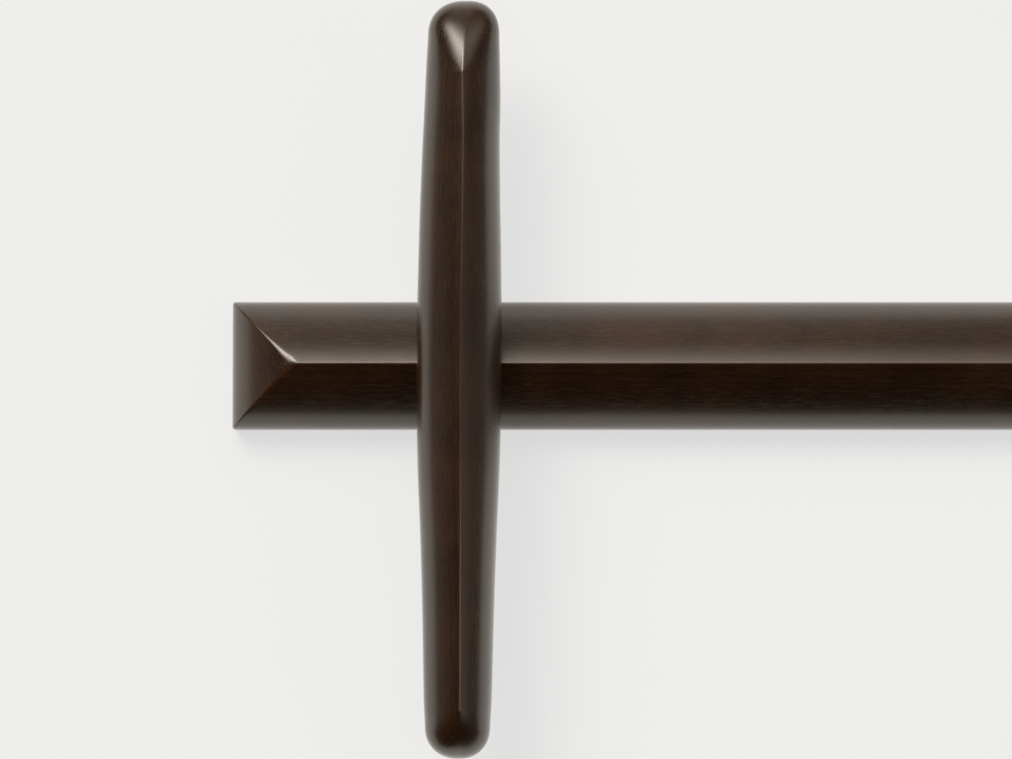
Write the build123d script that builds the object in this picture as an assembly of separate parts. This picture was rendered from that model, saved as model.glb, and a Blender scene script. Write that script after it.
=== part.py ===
from build123d import *
import math
import os

# Wooden wing dummy: a ridge-backed beam that lies on its back, and a double-ended
# wing that turns on a pivot above it.  Millimetres.  The origin is on the beam's
# back face, under the pivot.  +X runs down the beam from its nearer end, +Y along
# the wing to its shorter end, and +Z out of the front.

# --- beam -----------------------------------------------------------------
beam_length = 750.0
beam_width = 87.0
beam_depth = 54.0          # back face to ridge
beam_side = 12.0           # upright edge below the rounded flanks
beam_head = 155.0          # nearer end to pivot
ridge_tilt = 23.0          # slope of a flank where it leaves the ridge, degrees
corner_chamfer = 1.5       # upright corners, seen from the front
back_chamfer = 1.0         # edge round the back face

# --- wing -----------------------------------------------------------------
wing_width = 56.0          # at the pivot
short_half = 240.5         # pivot to the shorter end
long_half = 262.0
wing_gap = 2.0             # wing's back above the beam's ridge
wing_front = 32.0          # widest line to ridge, at the pivot
wing_back = 20.0           # widest line to the flat back
wing_flat_share = 0.62     # flat of the back, as a share of the width
end_front_share = 0.86     # ridge height near the tips, against the pivot's
ridge_shift = 2.0          # ridge, to the +X side of the outline's middle
tip_drop = 5.0             # how far a tip's point lies below the widest line
short_tip_x = 4.2
long_tip_x = -0.2
short_slope = 46.0         # length of the slope from the ridge's end to the tip
long_slope = 33.0
slope_tilt = 9.0           # of that slope where it leaves the ridge, degrees
slope_foot_share = 0.35    # height of that slope over the tip, against the ridge's
# Outline: place as a share of its half, then reach to -X and to +X as shares of the
# width.  Minus places are on the longer half.
wing_outline = [
    (0.84, 0.386, 0.484),
    (0.45, 0.461, 0.486),
    (0.0, 0.505, 0.505),
    (-0.45, 0.456, 0.443),
    (-0.85, 0.414, 0.386),
]
tip_angles = (90, 66, 44, 25, 9)    # sections round each tip, degrees from its point

# --- pivot ----------------------------------------------------------------
running_gap = 0.05         # radial play where one piece turns on another
press_gap = 0.02           # radial slack of a pressed or screwed-in piece
seat_gap = 0.2             # slack round pieces that drop into a pocket
face_gap = 0.1             # slack between faces that turn past each other
shank_radius = 8.0
stub_radius = 6.0          # threaded end of the pivot bolt
stub_end = 4.0             # its end, above the back face
head_across_flats = 24.0
head_height = 10.0
bush_wall = 3.0
bush_reach = 6.0           # flange past the sleeve
flange_thick = 3.0
sleeve_space = 3.0         # between the two bushes' sleeves
spot_depth = 8.0           # flat for the front bush, below the ridge
spot_room = 2.0            # round the front bush's flange
washer_thick = 1.5
collar_wall = 7.0
plate_length = 110.0
plate_width = 30.0
plate_thick = 5.0
plate_screw_inset = 10.0   # outer screws, from the plate's ends
plate_screw_room = 10.0    # inner screws, from the bolt head's flats
plate_screw_radius = 2.25
plate_screw_length = 22.0
pocket_room = 5.0          # round the bush flange, in the back pocket
pocket_depth = 27.0
friction_thick = 2.0
pressure_thick = 2.0
spring_reach = 8.0         # coned springs' rim, past the bolt's stub
spring_thick = 1.2
spring_rise = 0.8
nut_across_flats = 19.0
nut_height = 9.0
nut_lip = 1.1              # nut's wall round its nylon ring
nut_ring_height = 2.5
cover_lap = 8.0            # cover plate, past the pocket
cover_thick = 2.0
cover_screw_inset = 4.0
cover_screw_radius = 1.75
cover_screw_length = 12.0
cover_screw_count = 4

# --- fixing inserts in the back ---------------------------------------------
insert_count = 4
insert_head_inset = 50.0   # first insert, from the nearer end
insert_foot_inset = 70.0   # last insert, from the far end
insert_radius = 6.3
insert_bore = 4.0
insert_length = 18.0
insert_floor = 2.0         # hole left past the insert

# --- levels and places worked out from the above ----------------------------
half_beam = beam_width / 2
beam_start = -beam_head
beam_end = beam_length - beam_head
back_level = beam_depth + wing_gap
wide_level = back_level + wing_back
plate_top = back_level + plate_thick
head_top = plate_top + head_height

sleeve_radius = shank_radius + bush_wall
flange_radius = sleeve_radius + bush_reach
spot_level = beam_depth - spot_depth
sleeve_length = (spot_level - pocket_depth - sleeve_space) / 2
flange_top = spot_level + flange_thick
washer_top = flange_top + washer_thick
rear_flange_bottom = pocket_depth - flange_thick
friction_bottom = rear_flange_bottom - friction_thick
pressure_top = friction_bottom - face_gap
pressure_bottom = pressure_top - pressure_thick
nut_top = pressure_bottom - 2 * (spring_thick + spring_rise)
nut_bottom = nut_top - nut_height
nut_ring_radius = nut_across_flats / 2 - nut_lip
pocket_radius = flange_radius + pocket_room
cover_radius = pocket_radius + cover_lap

plate_screw_places = (
    head_across_flats / 2 + plate_screw_room,
    plate_length / 2 - plate_screw_inset,
)
insert_pitch = (beam_length - insert_head_inset - insert_foot_inset) / (insert_count - 1)
insert_places = [beam_start + insert_head_inset + insert_pitch * i for i in range(insert_count)]


# --- shapes used more than once ---------------------------------------------
def disc(radius, bottom, top, x=0.0):
    """An upright cylinder between two levels."""
    solid = Cylinder(radius, top - bottom, align=(Align.CENTER, Align.CENTER, Align.MIN))
    return Pos(x, 0, bottom) * solid


def ring(outer, inner, bottom, top, x=0.0):
    """An upright tube between two levels."""
    return disc(outer, bottom, top, x) - disc(inner, bottom, top, x)


def hexagon(across_flats, bottom, top):
    """An upright hexagonal prism between two levels."""
    outline = RegularPolygon(across_flats / 2, 6, major_radius=False)
    return extrude(Pos(0, 0, bottom) * outline, top - bottom)


def stadium(length, width, bottom, top):
    """A plate with round ends, along Y, between two levels."""
    return extrude(Pos(0, 0, bottom) * SlotOverall(length, width, rotation=90), top - bottom)


def screw_body(radius, length):
    """A countersunk wood screw that points up, its head flush with Z 0."""
    profile = Polyline(
        (0, 0),
        (2 * radius, 0),
        (radius, radius),
        (radius, length - radius),
        (0, length),
        close=True,
    )
    return revolve(Plane.XZ * make_face(profile), Axis.Z)


def screw(radius, length):
    """The same screw with a hexagon socket in its head."""
    return screw_body(radius, length) - hexagon(1.6 * radius, 0, radius)


def flank_middle(run, rise, tilt=ridge_tilt):
    """A point halfway along a flank's arc, which falls from (0, rise) to (run, 0)."""
    chord_tilt = math.atan2(rise, run)
    bulge = math.hypot(run, rise) / 2 * math.tan((chord_tilt - math.radians(tilt)) / 2)
    return run / 2 + bulge * math.sin(chord_tilt), rise / 2 + bulge * math.cos(chord_tilt)


# --- beam -------------------------------------------------------------------
def flanked_outline(left, right):
    """A flat-backed outline that rises from each end by the same flank to ridge height."""
    out, up = flank_middle(half_beam, beam_depth - beam_side)
    ridge_left, ridge_right = left + half_beam, right - half_beam
    outline = Polyline((left, beam_side), (left, 0), (right, 0), (right, beam_side))
    right_bulge, left_bulge = (ridge_right + out, beam_side + up), (ridge_left - out, beam_side + up)
    outline += ThreePointArc((right, beam_side), right_bulge, (ridge_right, beam_depth))
    if ridge_right > ridge_left:
        outline += Line((ridge_right, beam_depth), (ridge_left, beam_depth))
    outline += ThreePointArc((ridge_left, beam_depth), left_bulge, (left, beam_side))
    return make_face(outline)


def cover_screw_spots():
    turn = 360 / cover_screw_count
    out = Pos(cover_radius - cover_screw_inset, 0, 0)
    return [Rot(0, 0, turn * (i + 0.5)) * out for i in range(cover_screw_count)]


def make_beam():
    across = Plane.YZ.offset(beam_start) * flanked_outline(-half_beam, half_beam)
    bar = extrude(across, beam_length)
    # The same flank turned to face each end cuts the mitred hips.
    hips = extrude(Plane.XZ * flanked_outline(beam_start, beam_end), half_beam, both=True)
    plan = chamfer(Rectangle(beam_length, beam_width).vertices(), corner_chamfer)
    beam = bar & hips & extrude(Pos(beam_start + beam_length / 2, 0, 0) * plan, beam_depth)
    beam = chamfer(beam.faces().sort_by(Axis.Z)[0].edges(), back_chamfer)
    beam -= disc(flange_radius + spot_room, spot_level, beam_depth)
    beam -= disc(sleeve_radius + press_gap, pocket_depth, spot_level)
    beam -= disc(pocket_radius, cover_thick, pocket_depth)
    beam -= disc(cover_radius + seat_gap, 0, cover_thick)
    for spot in cover_screw_spots():
        beam -= spot * screw_body(cover_screw_radius, cover_screw_length)
    for x in insert_places:
        beam -= disc(insert_radius + press_gap, 0, insert_length + insert_floor, x)
    return beam


# --- wing -------------------------------------------------------------------
def wing_section(y, left, right, front, size=1.0):
    """The wing's cross-section at y: two flanks to the ridge over a flat-bottomed back."""
    middle = (right - left) / 2
    half = (right + left) / 2 * size
    level = wide_level - tip_drop * (1 - size)
    foot = level - wing_back * size
    peak = front * size
    ridge_x = middle + ridge_shift * size
    out_left, up_left = flank_middle(ridge_x - middle + half, peak)
    out_right, up_right = flank_middle(middle + half - ridge_x, peak)
    left_edge, right_edge = (middle - half, level), (middle + half, level)
    ridge = (ridge_x, level + peak)

    # The heels are quarter ellipses, drawn as arcs through their 45 degree points.
    flat = half * wing_flat_share
    heel_out = flat + (half - flat) * math.sqrt(0.5)
    heel_level = level - wing_back * size * math.sqrt(0.5)
    heel_left, heel_right = (middle - flat, foot), (middle + flat, foot)
    outline = ThreePointArc(left_edge, (ridge_x - out_left, level + up_left), ridge)
    outline += ThreePointArc(ridge, (ridge_x + out_right, level + up_right), right_edge)
    outline += ThreePointArc(right_edge, (middle + heel_out, heel_level), heel_right)
    outline += Line(heel_right, heel_left)
    outline += ThreePointArc(heel_left, (middle - heel_out, heel_level), left_edge)
    return Plane.XZ.offset(-y) * make_face(outline)


def wing_end(toward):
    """The half of the wing on one side of the pivot: its length and its tip's X."""
    return (short_half, short_tip_x) if toward > 0 else (long_half, long_tip_x)


def tip_sections(station, toward):
    """Shrinking sections that round the wing off from its last station to its tip."""
    share, left, right = station
    length, tip_x = wing_end(toward)
    left, right = left * wing_width, right * wing_width
    reach = (left + right) / 2
    side_step = tip_x - (right - left) / 2
    start = abs(share) * length
    sections = []
    for angle in tip_angles:
        along = length - reach * (1 - math.cos(math.radians(angle)))
        drift = side_step * (along - start) / (length - start)
        size = math.sin(math.radians(angle))
        front = wing_front * end_front_share
        sections.append(wing_section(toward * along, left - drift, right + drift, front, size))
    return sections


def slope_cutter(toward, slope):
    """What lies over the slope that runs from the ridge's end down to a tip."""
    tip_y = toward * wing_end(toward)[0]
    peak = wide_level + wing_front * end_front_share
    foot = wide_level + wing_front * end_front_share * slope_foot_share
    start = tip_y - toward * slope
    out, up = flank_middle(slope, peak - foot, slope_tilt)
    roof = wide_level + wing_front
    past_tip = tip_y + toward
    outline = ThreePointArc((start, peak), (start + toward * out, foot + up), (tip_y, foot))
    outline += Polyline((tip_y, foot), (past_tip, foot), (past_tip, roof), (start, roof), (start, peak))
    return extrude(Plane.YZ * make_face(outline), wing_width, both=True)


def plate_screw_spots():
    return [Pos(0, side * y, back_level) for y in plate_screw_places for side in (-1, 1)]


def make_wing():
    short_sections = tip_sections(wing_outline[0], 1)
    long_sections = tip_sections(wing_outline[-1], -1)
    body = [short_sections[0]]
    for share, left, right in wing_outline:
        y = share * (short_half if share > 0 else long_half)
        taper = (1 - end_front_share) * abs(share) / abs(wing_outline[-1][0])
        body.append(wing_section(y, left * wing_width, right * wing_width, wing_front * (1 - taper)))
    body.append(long_sections[0])
    wing = loft(body) + loft(short_sections) + loft(long_sections)
    wing -= slope_cutter(1, short_slope)
    wing -= slope_cutter(-1, long_slope)
    wing -= stadium(plate_length + 2 * seat_gap, plate_width + 2 * seat_gap, back_level, plate_top)
    wing -= hexagon(head_across_flats + 2 * seat_gap, plate_top, head_top + seat_gap)
    for spot in plate_screw_spots():
        wing -= spot * screw_body(plate_screw_radius, plate_screw_length)
    return wing


# --- pivot ------------------------------------------------------------------
def make_wing_plate():
    plate = stadium(plate_length, plate_width, back_level, plate_top)
    plate -= disc(shank_radius + press_gap, back_level, plate_top)
    for spot in plate_screw_spots():
        plate -= spot * screw_body(plate_screw_radius, plate_screw_length)
    return plate


def make_pivot_bolt():
    bolt = hexagon(head_across_flats, plate_top, head_top)
    bolt += disc(shank_radius, pressure_top, plate_top)
    bolt += disc(stub_radius, stub_end, pressure_top)
    return bolt


def make_bush(flange_bottom, upward):
    """A flanged bush; upward is True where its sleeve points up into the beam."""
    flange_level = flange_bottom + flange_thick
    sleeve_bottom = flange_level if upward else flange_bottom - sleeve_length
    bush = disc(flange_radius, flange_bottom, flange_level)
    bush += disc(sleeve_radius, sleeve_bottom, sleeve_bottom + sleeve_length)
    return bush - disc(shank_radius + running_gap, 0, back_level)


def make_disc_springs():
    """Two coned washers that meet at their rims."""
    bore = stub_radius + running_gap
    rim = stub_radius + spring_reach
    middle = (nut_top + pressure_bottom) / 2
    upper = Polyline(
        (bore, middle + spring_rise),
        (rim, middle),
        (rim, middle + spring_thick),
        (bore, middle + spring_rise + spring_thick),
        close=True,
    )
    top = revolve(Plane.XZ * make_face(upper), Axis.Z)
    bottom = mirror(top, Plane.XY.offset(middle))
    return Compound(children=[top, bottom])


def make_lock_nut():
    nut = hexagon(nut_across_flats, nut_bottom, nut_top)
    nut -= disc(stub_radius + press_gap, nut_bottom, nut_top)
    nut -= disc(nut_ring_radius + press_gap, nut_bottom, nut_bottom + nut_ring_height)
    return nut


def make_cover_plate():
    cover = disc(cover_radius, 0, cover_thick)
    for spot in cover_screw_spots():
        cover -= spot * screw_body(cover_screw_radius, cover_screw_length)
    return cover


def group(spots, piece):
    """Several copies of one piece, as separate solids in one node."""
    return Compound(children=[spot * piece for spot in spots])


parts = {
    "beam": make_beam(),
    "wing": make_wing(),
    "wing_plate": make_wing_plate(),
    "wing_plate_screws": group(plate_screw_spots(), screw(plate_screw_radius, plate_screw_length)),
    "pivot_bolt": make_pivot_bolt(),
    "hub_collar": ring(
        shank_radius + collar_wall,
        shank_radius + press_gap,
        washer_top + face_gap,
        back_level,
    ),
    "thrust_washer": ring(flange_radius, shank_radius + running_gap, flange_top, washer_top),
    "front_bush": make_bush(spot_level, upward=False),
    "rear_bush": make_bush(rear_flange_bottom, upward=True),
    "friction_disc": ring(flange_radius, shank_radius + running_gap, friction_bottom, rear_flange_bottom),
    "pressure_washer": ring(flange_radius, stub_radius + press_gap, pressure_bottom, pressure_top),
    "disc_springs": make_disc_springs(),
    "lock_nut": make_lock_nut(),
    "lock_nut_ring": ring(
        nut_ring_radius,
        stub_radius + press_gap,
        nut_bottom,
        nut_bottom + nut_ring_height,
    ),
    "cover_plate": make_cover_plate(),
    "cover_plate_screws": group(cover_screw_spots(), screw(cover_screw_radius, cover_screw_length)),
    "back_inserts": group(
        [Pos(x, 0, 0) for x in insert_places],
        ring(insert_radius, insert_bore, 0, insert_length),
    ),
}

os.makedirs("parts", exist_ok=True)
for name, shape in parts.items():
    export_step(shape, f"parts/{name}.step")
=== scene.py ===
import bpy
import bmesh
import math
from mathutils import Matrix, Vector, noise


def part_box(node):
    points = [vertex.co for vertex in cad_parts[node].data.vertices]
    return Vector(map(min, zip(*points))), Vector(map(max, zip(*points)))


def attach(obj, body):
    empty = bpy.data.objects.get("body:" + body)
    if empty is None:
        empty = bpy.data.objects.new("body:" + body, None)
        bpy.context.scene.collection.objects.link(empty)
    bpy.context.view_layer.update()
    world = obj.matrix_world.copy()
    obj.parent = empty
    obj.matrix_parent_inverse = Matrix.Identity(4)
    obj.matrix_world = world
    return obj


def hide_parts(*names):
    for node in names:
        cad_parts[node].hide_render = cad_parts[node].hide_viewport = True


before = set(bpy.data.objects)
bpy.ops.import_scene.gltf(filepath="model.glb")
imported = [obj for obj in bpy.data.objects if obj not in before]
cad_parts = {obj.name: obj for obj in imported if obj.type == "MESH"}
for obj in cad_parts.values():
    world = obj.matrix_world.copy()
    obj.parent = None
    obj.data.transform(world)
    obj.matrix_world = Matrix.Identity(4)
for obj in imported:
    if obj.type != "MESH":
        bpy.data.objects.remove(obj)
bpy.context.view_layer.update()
mm = 0.001
print("frame loaded")


class Wire:
    # wraps a shader socket, so that it can stand in a sum
    def __init__(self, tree, socket=None):
        self.tree = tree
        self.socket = socket

    def node(self, kind, settings=None, inputs=None, output=0):
        made = self.tree.nodes.new("ShaderNode" + kind)
        for name, value in (settings or {}).items():
            setattr(made, name, value)
        for name, value in (inputs or {}).items():
            if isinstance(value, Wire):
                self.tree.links.new(value.socket, made.inputs[name])
            else:
                made.inputs[name].default_value = value
        return Wire(self.tree, made.outputs[output] if made.outputs else None)

    def maths(self, operation, *values):
        return self.node("Math", {"operation": operation}, dict(enumerate(values)))

    def vectors(self, operation, *values, output=0):
        return self.node("VectorMath", {"operation": operation}, dict(enumerate(values)), output)

    def __add__(self, other):
        return self.maths("ADD", self, other)

    def __radd__(self, other):
        return self.maths("ADD", other, self)

    def __sub__(self, other):
        return self.maths("SUBTRACT", self, other)

    def __rsub__(self, other):
        return self.maths("SUBTRACT", other, self)

    def __mul__(self, other):
        return self.maths("MULTIPLY", self, other)

    def __rmul__(self, other):
        return self.maths("MULTIPLY", other, self)

    def band(self, low, high):
        # 0 up to low, 1 from high on
        return self.node("MapRange", {"clamp": True}, {0: self, 1: low, 2: high, 3: 0.0, 4: 1.0})

    def noise(self, scale, detail=2.0, roughness=0.5):
        grain = {"Vector": self, "Scale": scale, "Detail": detail, "Roughness": roughness}
        return self.node("TexNoise", {}, grain)

    def between(self, first, second):
        # a colour from first to second, by this factor
        return self.node("Mix", {"data_type": "RGBA"}, {0: self, 6: first, 7: second}, 2)

    def close(self, values, height, depth):
        values["Normal"] = self.node("Bump", {}, {"Height": height, "Distance": depth})
        surface = self.node("BsdfPrincipled", {}, values)
        self.node("OutputMaterial", {}, {"Surface": surface})


def newMaterial(name):
    material = bpy.data.materials.new(name)
    material.use_nodes = True
    material.node_tree.nodes.clear()
    flow = Wire(material.node_tree)
    place = flow.node("TexCoord", {}, {}, "Object")
    return material, flow, flow.vectors("MULTIPLY", place, (1 / mm, 1 / mm, 1 / mm))


def colour(values):
    return (*values, 1.0)


# the dark satin stain that both wooden pieces have
wood = {
    "dark": (0.0120, 0.0040, 0.0010),
    "mid": (0.0260, 0.0090, 0.0022),
    "warm": (0.0460, 0.0170, 0.0042),
    "worn": (0.085, 0.030, 0.007),
    "pore": (0.010, 0.004, 0.002),
    "ringGap": 3.4,          # mm
    "ringWander": 14.0,      # mm that the rings stray
    "squeeze": 0.035,        # how much the grain is drawn out lengthwise
    "fibre": (1.3, 4.0, 0.62),       # fineness, detail and roughness of the grain
    "fineFibre": (4.2, 2.0, 0.5),
    "pores": (2.4, 1.0, 0.4),
    "patches": (0.018, 3.0, 0.55),
    "wander": (0.05, 3.0),
    "toneMix": (0.65, 0.22, 0.22),   # shares of fibre, rings and fine fibre in the tone
    "toneBand": (0.28, 0.82),        # a band is where a measure starts to count and counts in full
    "poreBand": (0.63, 0.70),
    "patchBand": (0.42, 0.68),
    "wornBand": (0.2, 0.75),
    "poreShare": 0.75,
    "roughMix": (0.16, 0.12, 0.05),  # what fibre and pores add to the roughness, what wear takes off
    "heightMix": (0.35, 0.15, 0.8),  # fibre and fine fibre stand up, pores sink
    "roughness": 0.27,
    "shine": 0.5,
    "coat": 1.0,
    "coatRoughness": 0.21,
    "lacquer": (1.0, 0.93, 0.83),
    "depth": 0.04 * mm,
}


def woodMaterial(name, grainAxis, pith, seedShift):
    material, flow, place = newMaterial(name)
    squeeze = [1.0, 1.0, 1.0]
    squeeze[grainAxis] = wood["squeeze"]
    flat = [1.0, 1.0, 1.0]
    flat[grainAxis] = 0.0
    grain = flow.vectors("ADD", flow.vectors("MULTIPLY", place, tuple(squeeze)), seedShift)
    wander = grain.noise(*wood["wander"]) - 0.5
    fibre = grain.noise(*wood["fibre"])
    fineFibre = grain.noise(*wood["fineFibre"])
    pores = grain.noise(*wood["pores"]).band(*wood["poreBand"])
    fromPith = flow.vectors("ADD", flow.vectors("MULTIPLY", place, tuple(flat)), pith)
    ring = flow.vectors("LENGTH", fromPith, output="Value") + wander * wood["ringWander"] + fibre * 0.9
    rings = flow.maths("SINE", ring * (2 * math.pi / wood["ringGap"])) * 0.5 + 0.5
    patches = place.noise(*wood["patches"])
    worn = flow.node("Attribute", {"attribute_name": "wear"}, {}, "Fac")

    ofFibre, ofRings, ofFine = wood["toneMix"]
    tone = (fibre * ofFibre + rings * ofRings + fineFibre * ofFine).band(*wood["toneBand"])
    base = tone.between(colour(wood["dark"]), colour(wood["mid"]))
    warmer = tone.between(colour(wood["mid"]), colour(wood["warm"]))
    base = patches.band(*wood["patchBand"]).between(base, warmer)
    base = (worn * fibre.band(*wood["wornBand"])).between(base, colour(wood["worn"]))
    base = (pores * wood["poreShare"]).between(base, colour(wood["pore"]))
    byFibre, byPores, byWear = wood["roughMix"]
    rough = wood["roughness"] + (fibre - 0.5) * byFibre + pores * byPores - worn * byWear
    upFibre, upFine, downPores = wood["heightMix"]
    height = fibre * upFibre + fineFibre * upFine - pores * downPores
    flow.close({
        "Base Color": base,
        "Roughness": rough,
        "Specular IOR Level": wood["shine"],
        "Coat Weight": wood["coat"],
        "Coat Roughness": wood["coatRoughness"],
        "Coat Tint": colour(wood["lacquer"]),
        "Specular Tint": colour(wood["lacquer"]),
    }, height, wood["depth"])
    return material


# grain and tool marks of the metals, the fibre and the nylon
turned = {
    "fine": (3.0, 0.6),            # detail and roughness of the fine grain
    "broad": (0.12, 2.0),
    "scuffs": (0.5, 6.0, 0.75),
    "scuffBand": (0.56, 0.66),
    "scuffRoughness": 0.12,
    "markHeight": 0.35,            # tool marks beside the fine grain
    "depth": 0.02 * mm,
}

finishes = {
    # light and dark colour, metallic, roughness low and high, grain size in mm, tool-mark pitch in mm
    "zinc": ((0.56, 0.57, 0.60), (0.40, 0.41, 0.43), 1.0, 0.24, 0.42, 0.9, 0.45),
    "groundSteel": ((0.50, 0.50, 0.51), (0.33, 0.33, 0.34), 1.0, 0.22, 0.38, 0.5, 0.30),
    "plateSteel": ((0.47, 0.47, 0.48), (0.30, 0.30, 0.31), 1.0, 0.28, 0.46, 1.6, 0.60),
    "darkSteel": ((0.16, 0.15, 0.15), (0.07, 0.065, 0.06), 1.0, 0.30, 0.50, 0.7, 0.35),
    "springSteel": ((0.20, 0.21, 0.24), (0.10, 0.10, 0.12), 1.0, 0.26, 0.44, 0.6, 0.40),
    "bronze": ((0.52, 0.33, 0.17), (0.33, 0.19, 0.09), 1.0, 0.34, 0.55, 0.25, 0.50),
    "brass": ((0.72, 0.52, 0.22), (0.52, 0.35, 0.13), 1.0, 0.22, 0.40, 0.8, 0.40),
    "frictionFibre": ((0.16, 0.11, 0.075), (0.07, 0.045, 0.03), 0.0, 0.70, 0.90, 0.35, 0.0),
    "nylon": ((0.10, 0.20, 0.48), (0.07, 0.15, 0.40), 0.0, 0.38, 0.52, 2.0, 0.0),
}


def turnedMaterial(name):
    light, dark, metallic, smooth, coarse, grainSize, pitch = finishes[name]
    material, flow, place = newMaterial(name)
    fine = place.noise(1 / grainSize, *turned["fine"])
    broad = place.noise(*turned["broad"])
    scuffs = place.noise(*turned["scuffs"]).band(*turned["scuffBand"])
    radius = flow.vectors("LENGTH", flow.vectors("MULTIPLY", place, (1.0, 1.0, 0.0)), output="Value")
    height = fine * 0.5
    if pitch:
        marks = flow.maths("SINE", radius * (2 * math.pi / pitch) + fine * 2.0)
        height = height + marks * turned["markHeight"]
    base = (fine * 0.6 + broad * 0.4).band(0.3, 0.7).between(colour(dark), colour(light))
    rough = smooth + (coarse - smooth) * (broad * 0.5 + fine * 0.5) + scuffs * turned["scuffRoughness"]
    flow.close({"Base Color": base, "Metallic": metallic, "Roughness": rough}, height, turned["depth"])
    return material


def pieceFrom(name, points, faces):
    mesh = bpy.data.meshes.new(name)
    mesh.from_pydata(points, [], faces)
    mesh.validate()
    piece = bpy.data.objects.new(name, mesh)
    bpy.context.scene.collection.objects.link(piece)
    return piece


# how every slope from a ridge to an edge is worked out
slopes = {
    "fine": 5,                 # steps walked for each one that is kept
    "search": (0.05, 0.999),   # sines between which the slope is looked for
    "halvings": 26,
    "steepest": 0.99995,       # sine of the steepest slope
    "crease": 32,              # degrees above which an edge stays sharp
}


def fallFromRidge(run, drop, tilt, rim, ridgeRound, count):
    # shares of the run and heights above the edge, from the ridge out to the edge; the slope starts
    # at tilt past the rounded ridge and steepens to upright over the rim
    start = math.sin(math.radians(tilt))
    steps = count * slopes["fine"]
    shares = [(1 - math.cos(math.pi * i / steps)) / 2 for i in range(steps + 1)]

    def walk(steep):
        height, fallen = 0.0, [0.0]
        for a, b in zip(shares, shares[1:]):
            share = (a + b) / 2
            sine = start + (steep - start) * share + (1 - steep) * share ** rim
            sine = min(sine * min(1.0, share * run / ridgeRound), slopes["steepest"])
            height += sine / math.sqrt(1 - sine * sine) * (b - a) * run
            fallen.append(height)
        return fallen

    low, high = slopes["search"]
    for _ in range(slopes["halvings"]):
        middle = (low + high) / 2
        if walk(middle)[-1] < drop:
            low = middle
        else:
            high = middle
    fallen = walk(low)
    scale = drop / fallen[-1]
    return [(shares[i], drop - fallen[i] * scale) for i in range(0, steps + 1, slopes["fine"])]


def markSharp(piece):
    mesh = piece.data
    work = bmesh.new()
    work.from_mesh(mesh)
    for face in work.faces:
        face.smooth = True
    crease = math.radians(slopes["crease"])
    for edge in work.edges:
        edge.smooth = len(edge.link_faces) == 2 and edge.calc_face_angle(0.0) < crease
    work.to_mesh(mesh)
    work.free()


def addWear(piece, wearAt):
    mesh = piece.data
    attribute = mesh.attributes.new("wear", "FLOAT", "POINT")
    attribute.data.foreach_set("value", [wearAt(v.co) for v in mesh.vertices])


def prism(name, outline, bottom, top):
    points = [(x, y, bottom) for x, y in outline] + [(x, y, top) for x, y in outline]
    count = len(outline)
    faces = [tuple(range(count))[::-1], tuple(range(count, 2 * count))]
    faces += [(i, (i + 1) % count, count + (i + 1) % count, count + i) for i in range(count)]
    return pieceFrom(name, points, faces)


def circle(radius, x=0.0, count=96):
    turn = 2 * math.pi / count
    return [(x + radius * math.cos(turn * i), radius * math.sin(turn * i)) for i in range(count)]


def cutAway(piece, cutters):
    for cutter in cutters:
        step = piece.modifiers.new("cut", "BOOLEAN")
        step.operation = "DIFFERENCE"
        step.solver = "EXACT"
        step.object = cutter
    graph = bpy.context.evaluated_depsgraph_get()
    finished = bpy.data.meshes.new_from_object(piece.evaluated_get(graph))
    piece.modifiers.clear()
    piece.data = finished
    for cutter in cutters:
        bpy.data.objects.remove(cutter)


def finishWith(piece, material):
    piece.data.materials.clear()
    piece.data.materials.append(material)


def handWorked(point, drawn, size):
    # the slight unevenness of a surface finished by hand
    return noise.noise(Vector(a * b for a, b in zip(point, drawn))) * size


beamLow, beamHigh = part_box("beam")
beam = {
    "side": 12.0 * mm,
    "tilt": 24.0,
    "rim": 12.0,
    "ridgeRound": 0.55 * mm,
    "cornerRound": 2.4 * mm,   # upright corners
    "hipCrisp": 0.7 * mm,      # the hips on their way up
    "hipRound": 5.0 * mm,      # where the hips run into the ridge
    "hipReach": 3.5 * mm,      # how far they bend along it
    "rings": 30,
    "longPoints": 250,
    "endPoints": 30,
    "cornerPoints": 7,
    "crispFade": 5,            # how soon the upright corners turn into hips
    "ridgeFade": 6,            # how late anything at the ridge starts
    "uneven": 0.10 * mm,
    "unevenDrawn": (9.0, 55.0, 55.0),
    # inset and height of the eased edge round the back
    "backEdge": [(1.0 * mm, 0.0), (0.3 * mm, 0.3 * mm), (0.0, 1.0 * mm), (0.0, 2.5 * mm)],
    "spotGap": 2.0 * mm,       # round the front bush's flange
    "spotDepth": 3.0 * mm,
    "boreRadius": 11.05 * mm,
    "boreFloor": 20.0 * mm,
    "pocketGap": 5.0 * mm,     # round the rear bush's flange
    "pocketRoof": 27.0 * mm,
    "coverGap": 0.25 * mm,
    "insertRadius": 6.3 * mm,
    "insertGap": 0.04 * mm,
    "insertDepth": 20.0 * mm,
    "overrun": 5.0 * mm,       # how far a cut starts outside the wood
    "overlap": 0.5 * mm,       # how far one cut starts inside another
    # wear: how strong and how wide
    "ridgeWear": (0.6, 1.6 * mm),
    "hipWear": (0.6, 3.0 * mm),
    "edgeWear": (0.25, 2.0 * mm),
    "ridgeFrom": 50.0 * mm,    # heights above which the ridge and the hips wear
    "hipFrom": 20.0 * mm,
}


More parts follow.
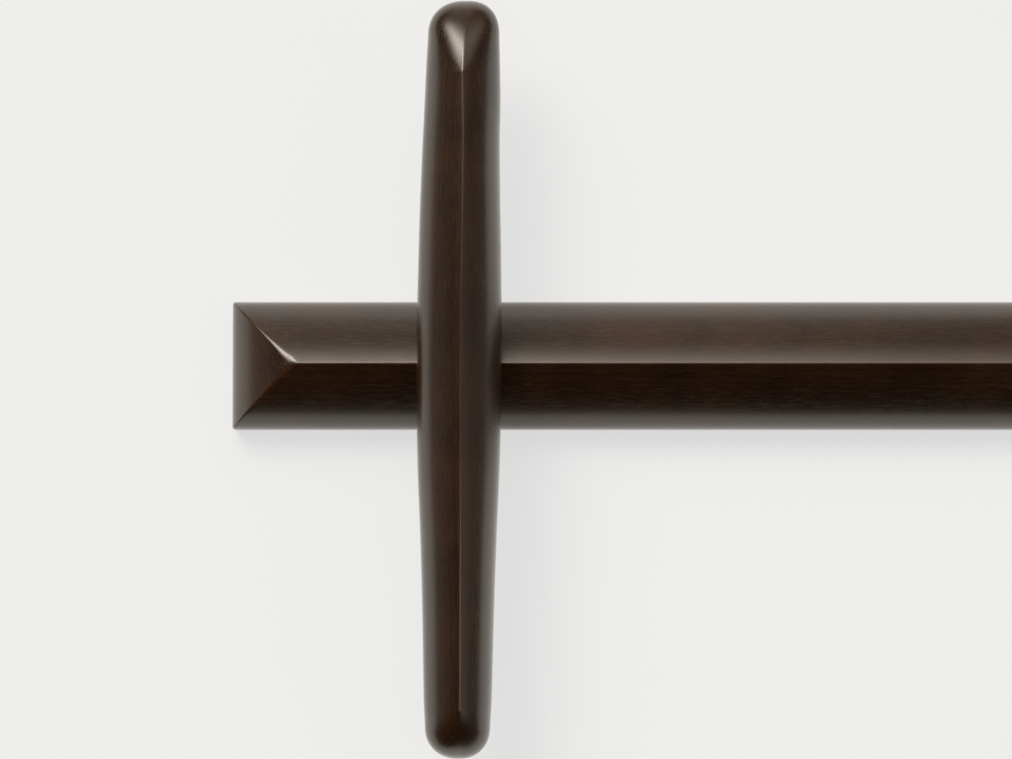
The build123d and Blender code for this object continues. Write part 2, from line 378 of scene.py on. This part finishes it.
def roundedRing(halfX, halfY, corner, midX):
    # starts at the middle of the +X end and goes round to +Y
    corner = min(corner, halfY)
    ends = beam["endPoints"] // 2
    straightX, straightY = halfX - corner, halfY - corner
    quarter = [(halfX, straightY * i / ends) for i in range(ends + 1)]
    for i in range(1, beam["cornerPoints"]):
        angle = math.pi / 2 * i / beam["cornerPoints"]
        quarter.append((straightX + corner * math.cos(angle), straightY + corner * math.sin(angle)))
    longHalf = beam["longPoints"] // 2
    quarter += [(straightX * (1 - i / longHalf), halfY) for i in range(longHalf + 1)]
    points = quarter + [(-x, y) for x, y in quarter[-2::-1]]
    points += [(x, -y) for x, y in points[-2:0:-1]]
    return [(midX + x, y) for x, y in points]


def makeBeam():
    midX = (beamLow.x + beamHigh.x) / 2
    halfX, halfY = (beamHigh.x - beamLow.x) / 2, (beamHigh.y - beamLow.y) / 2
    rise = beamHigh.z - beam["side"]
    fall = fallFromRidge(halfY, rise, beam["tilt"], beam["rim"], beam["ridgeRound"], beam["rings"])
    levels = list(beam["backEdge"])
    for share, height in fall[:0:-1]:
        levels.append((halfY * (1 - share), beam["side"] + height))
    points, faces = [], []
    for inset, z in levels:
        near = max(0.0, z - beam["side"]) / rise
        atRidge = near ** beam["ridgeFade"]
        atCorner = (1 - near) ** beam["crispFade"]
        corner = beam["hipCrisp"] + (beam["cornerRound"] - beam["hipCrisp"]) * atCorner
        corner += (beam["hipRound"] - beam["hipCrisp"]) * atRidge
        # the hips bend over the last tenth of the rise
        bend = beam["hipReach"] * max(0.0, near * 10 - 9) ** 2
        ring = roundedRing(halfX - inset - bend, halfY - inset, corner, midX)
        for x, y in ring:
            bump = handWorked((x, y, z), beam["unevenDrawn"], beam["uneven"]) if z > beam["side"] else 0.0
            points.append((x, y, z + bump * (1 - atRidge)))
    count = len(points) // len(levels)
    for level in range(len(levels) - 1):
        start = level * count
        for i in range(count):
            j = (i + 1) % count
            faces.append((start + i, start + j, start + count + j, start + count + i))
    half = count // 2
    for start, up in ((0, False), ((len(levels) - 1) * count, True)):
        caps = [(0, 1, count - 1)]
        caps += [(i, i + 1, count - i - 1, count - i) for i in range(1, half - 1)]
        caps.append((half - 1, half, half + 1))
        caps = [tuple(start + i for i in face) for face in caps]
        faces += caps if up else [face[::-1] for face in caps]
    piece = pieceFrom("beamWood", points, faces)
    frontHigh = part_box("front_bush")[1]
    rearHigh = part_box("rear_bush")[1]
    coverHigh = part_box("cover_plate")[1]
    spotFloor = frontHigh.z - beam["spotDepth"]
    outside = -beam["overrun"]
    pocket = circle(rearHigh.x + beam["pocketGap"])
    pocketFloor = coverHigh.z - beam["overlap"]
    cutters = [
        prism("spotCut", circle(frontHigh.x + beam["spotGap"]), spotFloor, beamHigh.z + beam["overrun"]),
        prism("boreCut", circle(beam["boreRadius"]), beam["boreFloor"], beamHigh.z),
        prism("pocketCut", pocket, pocketFloor, beam["pocketRoof"]),
        prism("coverCut", circle(coverHigh.x + beam["coverGap"]), outside, coverHigh.z),
    ]
    # four inserts in a row
    insertLow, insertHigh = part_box("back_inserts")
    spacing = (insertHigh.x - insertLow.x - 2 * beam["insertRadius"]) / 3
    for i in range(4):
        x = insertLow.x + beam["insertRadius"] + spacing * i
        hole = circle(beam["insertRadius"] + beam["insertGap"], x)
        cutters.append(prism("insertCut", hole, outside, beam["insertDepth"]))
    cutAway(piece, cutters)
    markSharp(piece)

    def fade(setting, distance):
        strength, width = beam[setting]
        return strength * max(0.0, 1 - distance / width)

    def wearAt(point):
        toEnd = min(point.x - beamLow.x, beamHigh.x - point.x)
        toSide = halfY - abs(point.y)
        ridge = fade("ridgeWear", abs(point.y)) if point.z > beam["ridgeFrom"] else 0.0
        onHip = point.z > beam["hipFrom"] and toEnd < halfY
        hip = fade("hipWear", abs(toEnd - toSide)) if onHip else 0.0
        return max(ridge, hip) + fade("edgeWear", min(toEnd, toSide))

    addWear(piece, wearAt)
    return piece


wingLow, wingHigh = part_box("wing")
wing = {
    # place along Y as a share of the half that it is on, then reach to -X and to +X in mm
    "outline": [
        (0.90, 20.7, 26.7), (0.83, 21.7, 27.1), (0.72, 22.9, 27.4), (0.61, 24.2, 26.9),
        (0.45, 25.8, 27.2), (0.28, 27.0, 27.9), (0.0, 28.3, 28.3), (-0.25, 27.5, 27.0),
        (-0.45, 25.5, 24.8), (-0.65, 24.1, 23.0), (-0.85, 23.2, 21.6), (-0.915, 22.4, 20.6),
    ],
    # ridge: share, X in mm, height over the widest line in mm
    "ridge": [
        (0.81, 2.7, 28.3), (0.6, 3.4, 30.0), (0.28, 2.6, 31.4), (0.0, 1.7, 32.0), (-0.25, 1.5, 31.6),
        (-0.5, 1.4, 30.5), (-0.75, 1.2, 28.9), (-0.874, 1.0, 27.9),
    ],
    # tip's X and the length of the nose, in mm, and the squareness of the outline to -X and to +X
    "tips": {1: (4.6, 52.0, 2.2, 2.35), -1: (-0.1, 34.0, 2.15, 2.15)},
    "wide": 76.0 * mm,
    "tipDrop": 5.0 * mm,
    "tilt": 24.0,
    "rim": 10.0,
    "ridgeRound": 0.8 * mm,
    "flatShare": 0.62,
    "rings": 30,
    "heelRings": 10,
    "bodyStations": 130,
    "shoulderStations": 16,
    "tipPoints": 40,
    "noseTilt": 8.0,
    "noseRim": 8.0,
    "noseCrisp": (3.6, 1.4),   # how crisply the nose meets the flank to -X and to +X
    "noseSteps": 60,
    "shoulder": 0.915,         # share where the tips' rounding takes over
    "unevenDrawn": (45.0, 8.0, 45.0),
    "fitGap": 0.25 * mm,       # round the let-in plate and the bolt's head
    "plateArc": 32,
    "uneven": 0.16 * mm,
    "unevenAcross": 0.6,       # shares of it that go sideways and up
    "unevenUp": 0.5,
    "evenBelow": 10.0 * mm,    # the back stays flat up to here, less and less
    "ridgeWear": (0.55, 2.2 * mm),   # how strong and how wide
    "wearDepth": 12.0 * mm,    # no wear further below the ridge
}


def smoothThrough(rows, share, column):
    # a cubic through the rows, which run downwards
    if share >= rows[0][0]:
        return rows[0][column]
    for i in range(len(rows) - 1):
        if share >= rows[i + 1][0]:
            break
    a, b = rows[i], rows[i + 1]
    before, after = rows[max(i - 1, 0)], rows[min(i + 2, len(rows) - 1)]
    if share < b[0]:
        return b[column]
    span = b[0] - a[0]
    slopeA = slopeB = (b[column] - a[column]) / span
    if before is not a:
        slopeA = (b[column] - before[column]) / (b[0] - before[0])
    if after is not b:
        slopeB = (after[column] - a[column]) / (after[0] - a[0])
    t = (share - a[0]) / span
    return (
        a[column] * (2 * t ** 3 - 3 * t ** 2 + 1) + slopeA * span * (t ** 3 - 2 * t ** 2 + t)
        + b[column] * (3 * t ** 2 - 2 * t ** 3) + slopeB * span * (t ** 3 - t ** 2)
    )


def halfLength(side):
    return wingHigh.y if side > 0 else -wingLow.y


def shareAt(y):
    return y / halfLength(1 if y > 0 else -1)


def readTable(table, share):
    # between rows of rising shares
    share = min(max(share, 0.0), 1.0)
    for (a, low), (b, high) in zip(table, table[1:]):
        if share <= b:
            return low + (high - low) * (share - a) / (b - a)
    return table[-1][1]


def noseShape(side, ends):
    # gives the drop below the ridge's end, as a share of the whole drop, at a place on a tip
    tipX, nose, leftPower, rightPower = wing["tips"][side]
    start, shoulder, depth = ends[side], ends[side, "shoulder"], ends[side, "round"]
    length = halfLength(side)
    share = shareAt(start)
    ridgeX = smoothThrough(wing["ridge"], share, 1) * mm
    peak = smoothThrough(wing["ridge"], share, 2) * mm

    def dropTable(run, drop, tilt, rim, ridgeRound):
        fall = fallFromRidge(run, drop, tilt, rim, ridgeRound, wing["noseSteps"])
        return [(place, 1 - height / drop) for place, height in fall]

    along = dropTable(nose * mm, peak + wing["tipDrop"], wing["noseTilt"], wing["noseRim"], mm)
    flanks = {}
    for across, column in ((-1, 1), (1, 2)):
        run = smoothThrough(wing["outline"], share, column) * mm - across * ridgeX
        flanks[across] = dropTable(run, peak, wing["tilt"], wing["rim"], wing["ridgeRound"])

    def dropAt(x, y):
        axis = ridgeX + (tipX * mm - ridgeX) * (abs(y) - abs(start)) / (length - abs(start))
        across, power = (-1, leftPower) if x < axis else (1, rightPower)
        column = 1 if across < 0 else 2
        shoulderReach = across * smoothThrough(wing["outline"], shareAt(shoulder), column) * mm
        up = min(1.0, max(0.0, (abs(y) - abs(shoulder)) / depth))
        if up > 0:
            edge = tipX * mm + (shoulderReach - tipX * mm) * (1 - up ** power) ** (1 / power)
        else:
            edge = across * smoothThrough(wing["outline"], shareAt(y), column) * mm
        out = min(1.0, max(0.0, (x - tipX * mm) / (shoulderReach - tipX * mm)))
        front = abs(shoulder) + depth * (1 - out ** power) ** (1 / power)
        a = readTable(flanks[across], (x - axis) / (edge - axis) if abs(edge - axis) > 1e-6 else 0.0)
        b = readTable(along, (abs(y) - abs(start)) / max(front - abs(start), 1e-6))
        if max(a, b) >= 1:
            return 1.0
        crisp = wing["noseCrisp"][0 if across < 0 else 1]
        return 1 - ((1 - a) ** -crisp + (1 - b) ** -crisp - 1) ** (-1 / crisp)

    return dropAt


def wingLoop():
    # the outline's points, each with the ridge point that it falls from: down the -X side from the
    # +Y tip, round the -Y tip, and back up the +X side
    ends = {}
    for side in (1, -1):
        length = halfLength(side)
        ends[side] = side * (length - wing["tips"][side][1] * mm)
        left = smoothThrough(wing["outline"], side * wing["shoulder"], 1)
        right = smoothThrough(wing["outline"], side * wing["shoulder"], 2)
        ends[side, "round"] = (left + right) / 2 * mm
        ends[side, "shoulder"] = side * (length - ends[side, "round"])
    edges = [ends[1, "shoulder"], ends[1], ends[-1], ends[-1, "shoulder"]]
    counts = [wing["shoulderStations"], wing["bodyStations"], wing["shoulderStations"]]
    places = []
    for a, b, count in zip(edges, edges[1:], counts):
        places += [a + (b - a) * i / count for i in range(count)]
    places.append(edges[-1])

    def ridgePoint(y):
        y = max(min(y, ends[1]), ends[-1])
        share = shareAt(y)
        x = smoothThrough(wing["ridge"], share, 1) * mm
        return x, y, wing["wide"] + smoothThrough(wing["ridge"], share, 2) * mm

    def tipArc(side, across):
        # from the tip's point to a shoulder
        tipX, _, leftPower, rightPower = wing["tips"][side]
        squareness = leftPower if across < 0 else rightPower
        shoulder, depth = ends[side, "shoulder"], ends[side, "round"]
        column = 1 if across < 0 else 2
        reach = smoothThrough(wing["outline"], shareAt(shoulder), column) * mm
        found = []
        for i in range(wing["tipPoints"]):
            angle = math.pi / 2 * i / wing["tipPoints"]
            power = 2 / squareness
            out, up = math.sin(angle) ** power, math.cos(angle) ** power
            x = tipX * mm * (1 - out) + across * reach * out
            y = shoulder + side * depth * up
            drop = wing["tipDrop"] * (1 - out)
            found.append(((x, y, wing["wide"] - drop), ridgePoint(y)))
        return found

    loop = []
    for across in (-1, 1):
        column = 1 if across < 0 else 2
        straight = []
        for y in places:
            x = across * smoothThrough(wing["outline"], shareAt(y), column) * mm
            straight.append(((x, y, wing["wide"]), ridgePoint(y)))
        top, bottom = tipArc(1, across), tipArc(-1, across)
        run = top + straight + bottom[:0:-1]
        loop += run if across < 0 else [bottom[0]] + run[:0:-1]
    return loop, ends


def makeWing():
    loop, ends = wingLoop()
    noses = {side: noseShape(side, ends) for side in (1, -1)}
    count, rings, heels = len(loop), wing["rings"], wing["heelRings"]
    points, faces = [], []
    foot = wingLow.z
    for (x, y, level), (ridgeX, ridgeY, ridgeZ) in loop:
        run = math.hypot(x - ridgeX, y - ridgeY)
        fall = fallFromRidge(run, ridgeZ - level, wing["tilt"], wing["rim"], wing["ridgeRound"], rings)
        for i in range(1, heels + 1):
            angle = math.pi / 2 * (1 - i / heels)
            inward = (1 - wing["flatShare"]) * (1 - math.cos(angle))
            z = level - (level - foot) * math.sin(angle)
            points.append((x + (ridgeX - x) * inward, y + (ridgeY - y) * inward, z))
        side = 1 if y > 0 else -1
        for share, height in fall[-2:0:-1]:
            px, py = ridgeX + (x - ridgeX) * share, ridgeY + (y - ridgeY) * share
            if side * y > side * ends[side]:
                height = (ridgeZ - level) * (1 - noses[side](px, py))
            points.append((px, py, level + height))
    perColumn = heels + rings - 1

    def middleLine(height):
        # one point for each place along the ridge, and which of them each point of the outline has
        found, order = {}, []
        for _, ridge in loop:
            key = (round(ridge[0], 7), round(ridge[1], 7))
            if key not in found:
                found[key] = len(points)
                points.append((ridge[0], ridge[1], ridge[2] if height is None else height))
            order.append(found[key])
        return order

    ridgeOf, backOf = middleLine(None), middleLine(foot)
    for i in range(count):
        j = (i + 1) % count
        a, b = i * perColumn, j * perColumn
        for k in range(perColumn - 1):
            faces.append((a + k, a + k + 1, b + k + 1, b + k))
        for start, tops, flip in ((perColumn - 1, ridgeOf, False), (0, backOf, True)):
            ring = [a + start, tops[i], tops[j], b + start]
            if tops[i] == tops[j]:
                ring.pop(2)
            faces.append(tuple(ring[::-1] if flip else ring))
    worked = []
    for x, y, z in points:
        lift = max(0.0, min(1.0, (z - foot) / wing["evenBelow"]))
        push = handWorked((x, y, z), wing["unevenDrawn"], wing["uneven"]) * lift
        worked.append((x + push * wing["unevenAcross"], y, z + push * wing["unevenUp"]))
    piece = pieceFrom("wingWood", worked, faces)
    # points that meet on the ridge become one
    work = bmesh.new()
    work.from_mesh(piece.data)
    bmesh.ops.remove_doubles(work, verts=work.verts, dist=1e-6)
    bmesh.ops.recalc_face_normals(work, faces=work.faces)
    work.to_mesh(piece.data)
    work.free()
    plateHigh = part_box("wing_plate")[1]
    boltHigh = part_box("pivot_bolt")[1]
    gap, arc = wing["fitGap"], wing["plateArc"]
    half, long = plateHigh.x + gap, plateHigh.y + gap
    stadium = []
    for side in (1, -1):
        for i in range(arc + 1):
            angle = math.pi * i / arc + (0 if side > 0 else math.pi)
            stadium.append((half * math.cos(angle), side * (long - half) + half * math.sin(angle)))
    corner = boltHigh.x + gap
    hexagon = [(corner * math.cos(math.pi / 3 * i), corner * math.sin(math.pi / 3 * i)) for i in range(6)]
    cutters = [
        prism("plateCut", stadium, foot - beam["overrun"], plateHigh.z),
        prism("headCut", hexagon, plateHigh.z - 2 * beam["overlap"], boltHigh.z + gap),
    ]
    cutAway(piece, cutters)
    markSharp(piece)
    ridgeLine = sorted((ridge[1], ridge[0], ridge[2]) for _, ridge in loop)
    strength, width = wing["ridgeWear"]

    def wearAt(point):
        y = max(min(point.y, ridgeLine[-1][0]), ridgeLine[0][0])
        near = min(ridgeLine, key=lambda place: abs(place[0] - y))
        if point.z < near[2] - wing["wearDepth"]:
            return 0.0
        return strength * max(0.0, 1 - math.hypot(point.x - near[1], point.y - y) / width)

    addWear(piece, wearAt)
    return piece


stainedBeam = woodMaterial("stainedBeam", 0, (0.0, 38.0, 70.0), (3.1, 7.7, 1.9))
stainedWing = woodMaterial("stainedWing", 1, (46.0, 0.0, -10.0), (11.3, 2.2, 5.8))

beamWood = makeBeam()
finishWith(beamWood, stainedBeam)
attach(beamWood, "beam")
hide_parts("beam")
print("beam made")

wingWood = makeWing()
finishWith(wingWood, stainedWing)
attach(wingWood, "wing")
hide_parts("wing")
print("wing made")

hardware = {
    "wing_plate": "plateSteel",
    "wing_plate_screws": "darkSteel",
    "pivot_bolt": "zinc",
    "hub_collar": "zinc",
    "thrust_washer": "groundSteel",
    "front_bush": "bronze",
    "rear_bush": "bronze",
    "friction_disc": "frictionFibre",
    "pressure_washer": "groundSteel",
    "disc_springs": "springSteel",
    "lock_nut": "zinc",
    "lock_nut_ring": "nylon",
    "cover_plate": "plateSteel",
    "cover_plate_screws": "darkSteel",
    "back_inserts": "brass",
}
made = {name: turnedMaterial(name) for name in finishes}
for node, finish in hardware.items():
    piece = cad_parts[node]
    for slot in piece.material_slots:
        slot.material = made[finish]
print("hardware finished")


# table, lights, sky and camera
studio = {
    "floorSize": 9.0,
    "floorGap": 0.2 * mm,    # keeps the table clear of the beam's back
    "floorColour": (0.25, 0.25, 0.25),
    "floorGlow": 0.657,       # the table is lit from within, so that shadows stay faint
    "glowReach": (380.0, 1900.0, 0.12),   # mm where the glow starts and ends its fall, what is left
    "floorRoughness": 0.8,
    "floorShine": 0.2,
    "aim": (0.031, -0.0088, 0.0),
    "height": 2.2,
    "lean": 0.088,           # how far the camera stands towards -Y of what it looks at
    "lens": 114.5,
    "sensor": 36.0,
    "world": (1.0, 0.97, 0.92),
    "worldStrength": 0.015,
    # place, aim, width, height, brightness, colour
    "lights": {
        "overheadStrip": ((0.03, -0.40, 2.3), (0.03, -0.40, 0.0), 2.0, 0.50, 1.3, (1.0, 0.98, 0.96)),
    },
    # soft glows of the sky: turn from +X, lean from straight up, tightness, strength
    "glows": {
        "window": (95.0, 42.0, 32.0, 3.0),
        "cornerWindow": (126.0, 44.0, 32.0, 10.5),
        "rightWindow": (50.0, 50.0, 20.0, 1.1),
        "ceiling": (90.0, 24.0, 16.0, 0.12),
        "lowWindow": (342.0, 52.0, 30.0, 0.65),
        "rightWall": (0.0, 80.0, 24.0, 0.18),
        "leftWall": (180.0, 80.0, 24.0, 0.20),
        "backWall": (94.0, 86.0, 30.0, 0.55),
    },
}


def lookAt(thing, place, aim):
    thing.location = place
    thing.rotation_euler = (Vector(aim) - Vector(place)).to_track_quat("-Z", "Y").to_euler()


def makeFloor():
    reach = studio["floorSize"] / 2
    low = -studio["floorGap"]
    corners = [(-reach, -reach, low), (reach, -reach, low), (reach, reach, low), (-reach, reach, low)]
    piece = pieceFrom("floor", corners, [(0, 1, 2, 3)])
    material, flow, place = newMaterial("paper")
    grain = place.noise(0.4, 4.0)
    darker = [c * 0.99 for c in studio["floorColour"]]
    tint = (grain * 0.5 + 0.25).between(colour(darker), colour(studio["floorColour"]))
    near, far, left = studio["glowReach"]
    away = flow.vectors("LENGTH", place, output="Value").band(near, far)
    away = away * away * (3 - away * 2)
    flow.close({
        "Base Color": tint,
        "Roughness": studio["floorRoughness"],
        "Specular IOR Level": studio["floorShine"],
        "Emission Color": away.between(colour((1.0, 1.0, 1.0)), colour((left, left, left))),
        "Emission Strength": studio["floorGlow"],
    }, grain, 0.01 * mm)
    finishWith(piece, material)


def makeLights():
    for name, (place, aim, width, height, brightness, tint) in studio["lights"].items():
        data = bpy.data.lights.new(name, "AREA")
        data.shape = "RECTANGLE"
        data.size, data.size_y = width, height
        data.energy = brightness * math.pi * width * height
        data.color = tint
        lamp = bpy.data.objects.new(name, data)
        bpy.context.scene.collection.objects.link(lamp)
        lookAt(lamp, place, aim)
        lamp.visible_camera = False


def makeSky():
    around = bpy.data.worlds.new("studio")
    around.use_nodes = True
    around.node_tree.nodes.clear()
    flow = Wire(around.node_tree)
    towards = flow.vectors("NORMALIZE", flow.node("TexCoord", {}, {}, "Generated"))
    light = studio["worldStrength"]
    for turn, lean, tightness, strength in studio["glows"].values():
        turn, lean = math.radians(turn), math.radians(lean)
        middle = (math.cos(turn) * math.sin(lean), math.sin(turn) * math.sin(lean), math.cos(lean))
        near = flow.vectors("DOT_PRODUCT", towards, middle, output="Value")
        light = light + flow.maths("EXPONENT", (near - 1.0) * tightness) * strength
    sky = flow.node("Background", {}, {"Color": colour(studio["world"]), "Strength": light})
    flow.node("OutputWorld", {}, {"Surface": sky})
    bpy.context.scene.world = around


def makeCamera():
    data = bpy.data.cameras.new("camera")
    data.lens = studio["lens"]
    data.sensor_width = studio["sensor"]
    cameraObject = bpy.data.objects.new("camera", data)
    bpy.context.scene.collection.objects.link(cameraObject)
    x, y, z = studio["aim"]
    lookAt(cameraObject, (x, y - studio["lean"], studio["height"]), studio["aim"])
    bpy.context.scene.camera = cameraObject
    bpy.context.scene.view_settings.view_transform = "Standard"


makeFloor()
makeLights()
makeSky()
makeCamera()
print("studio made")
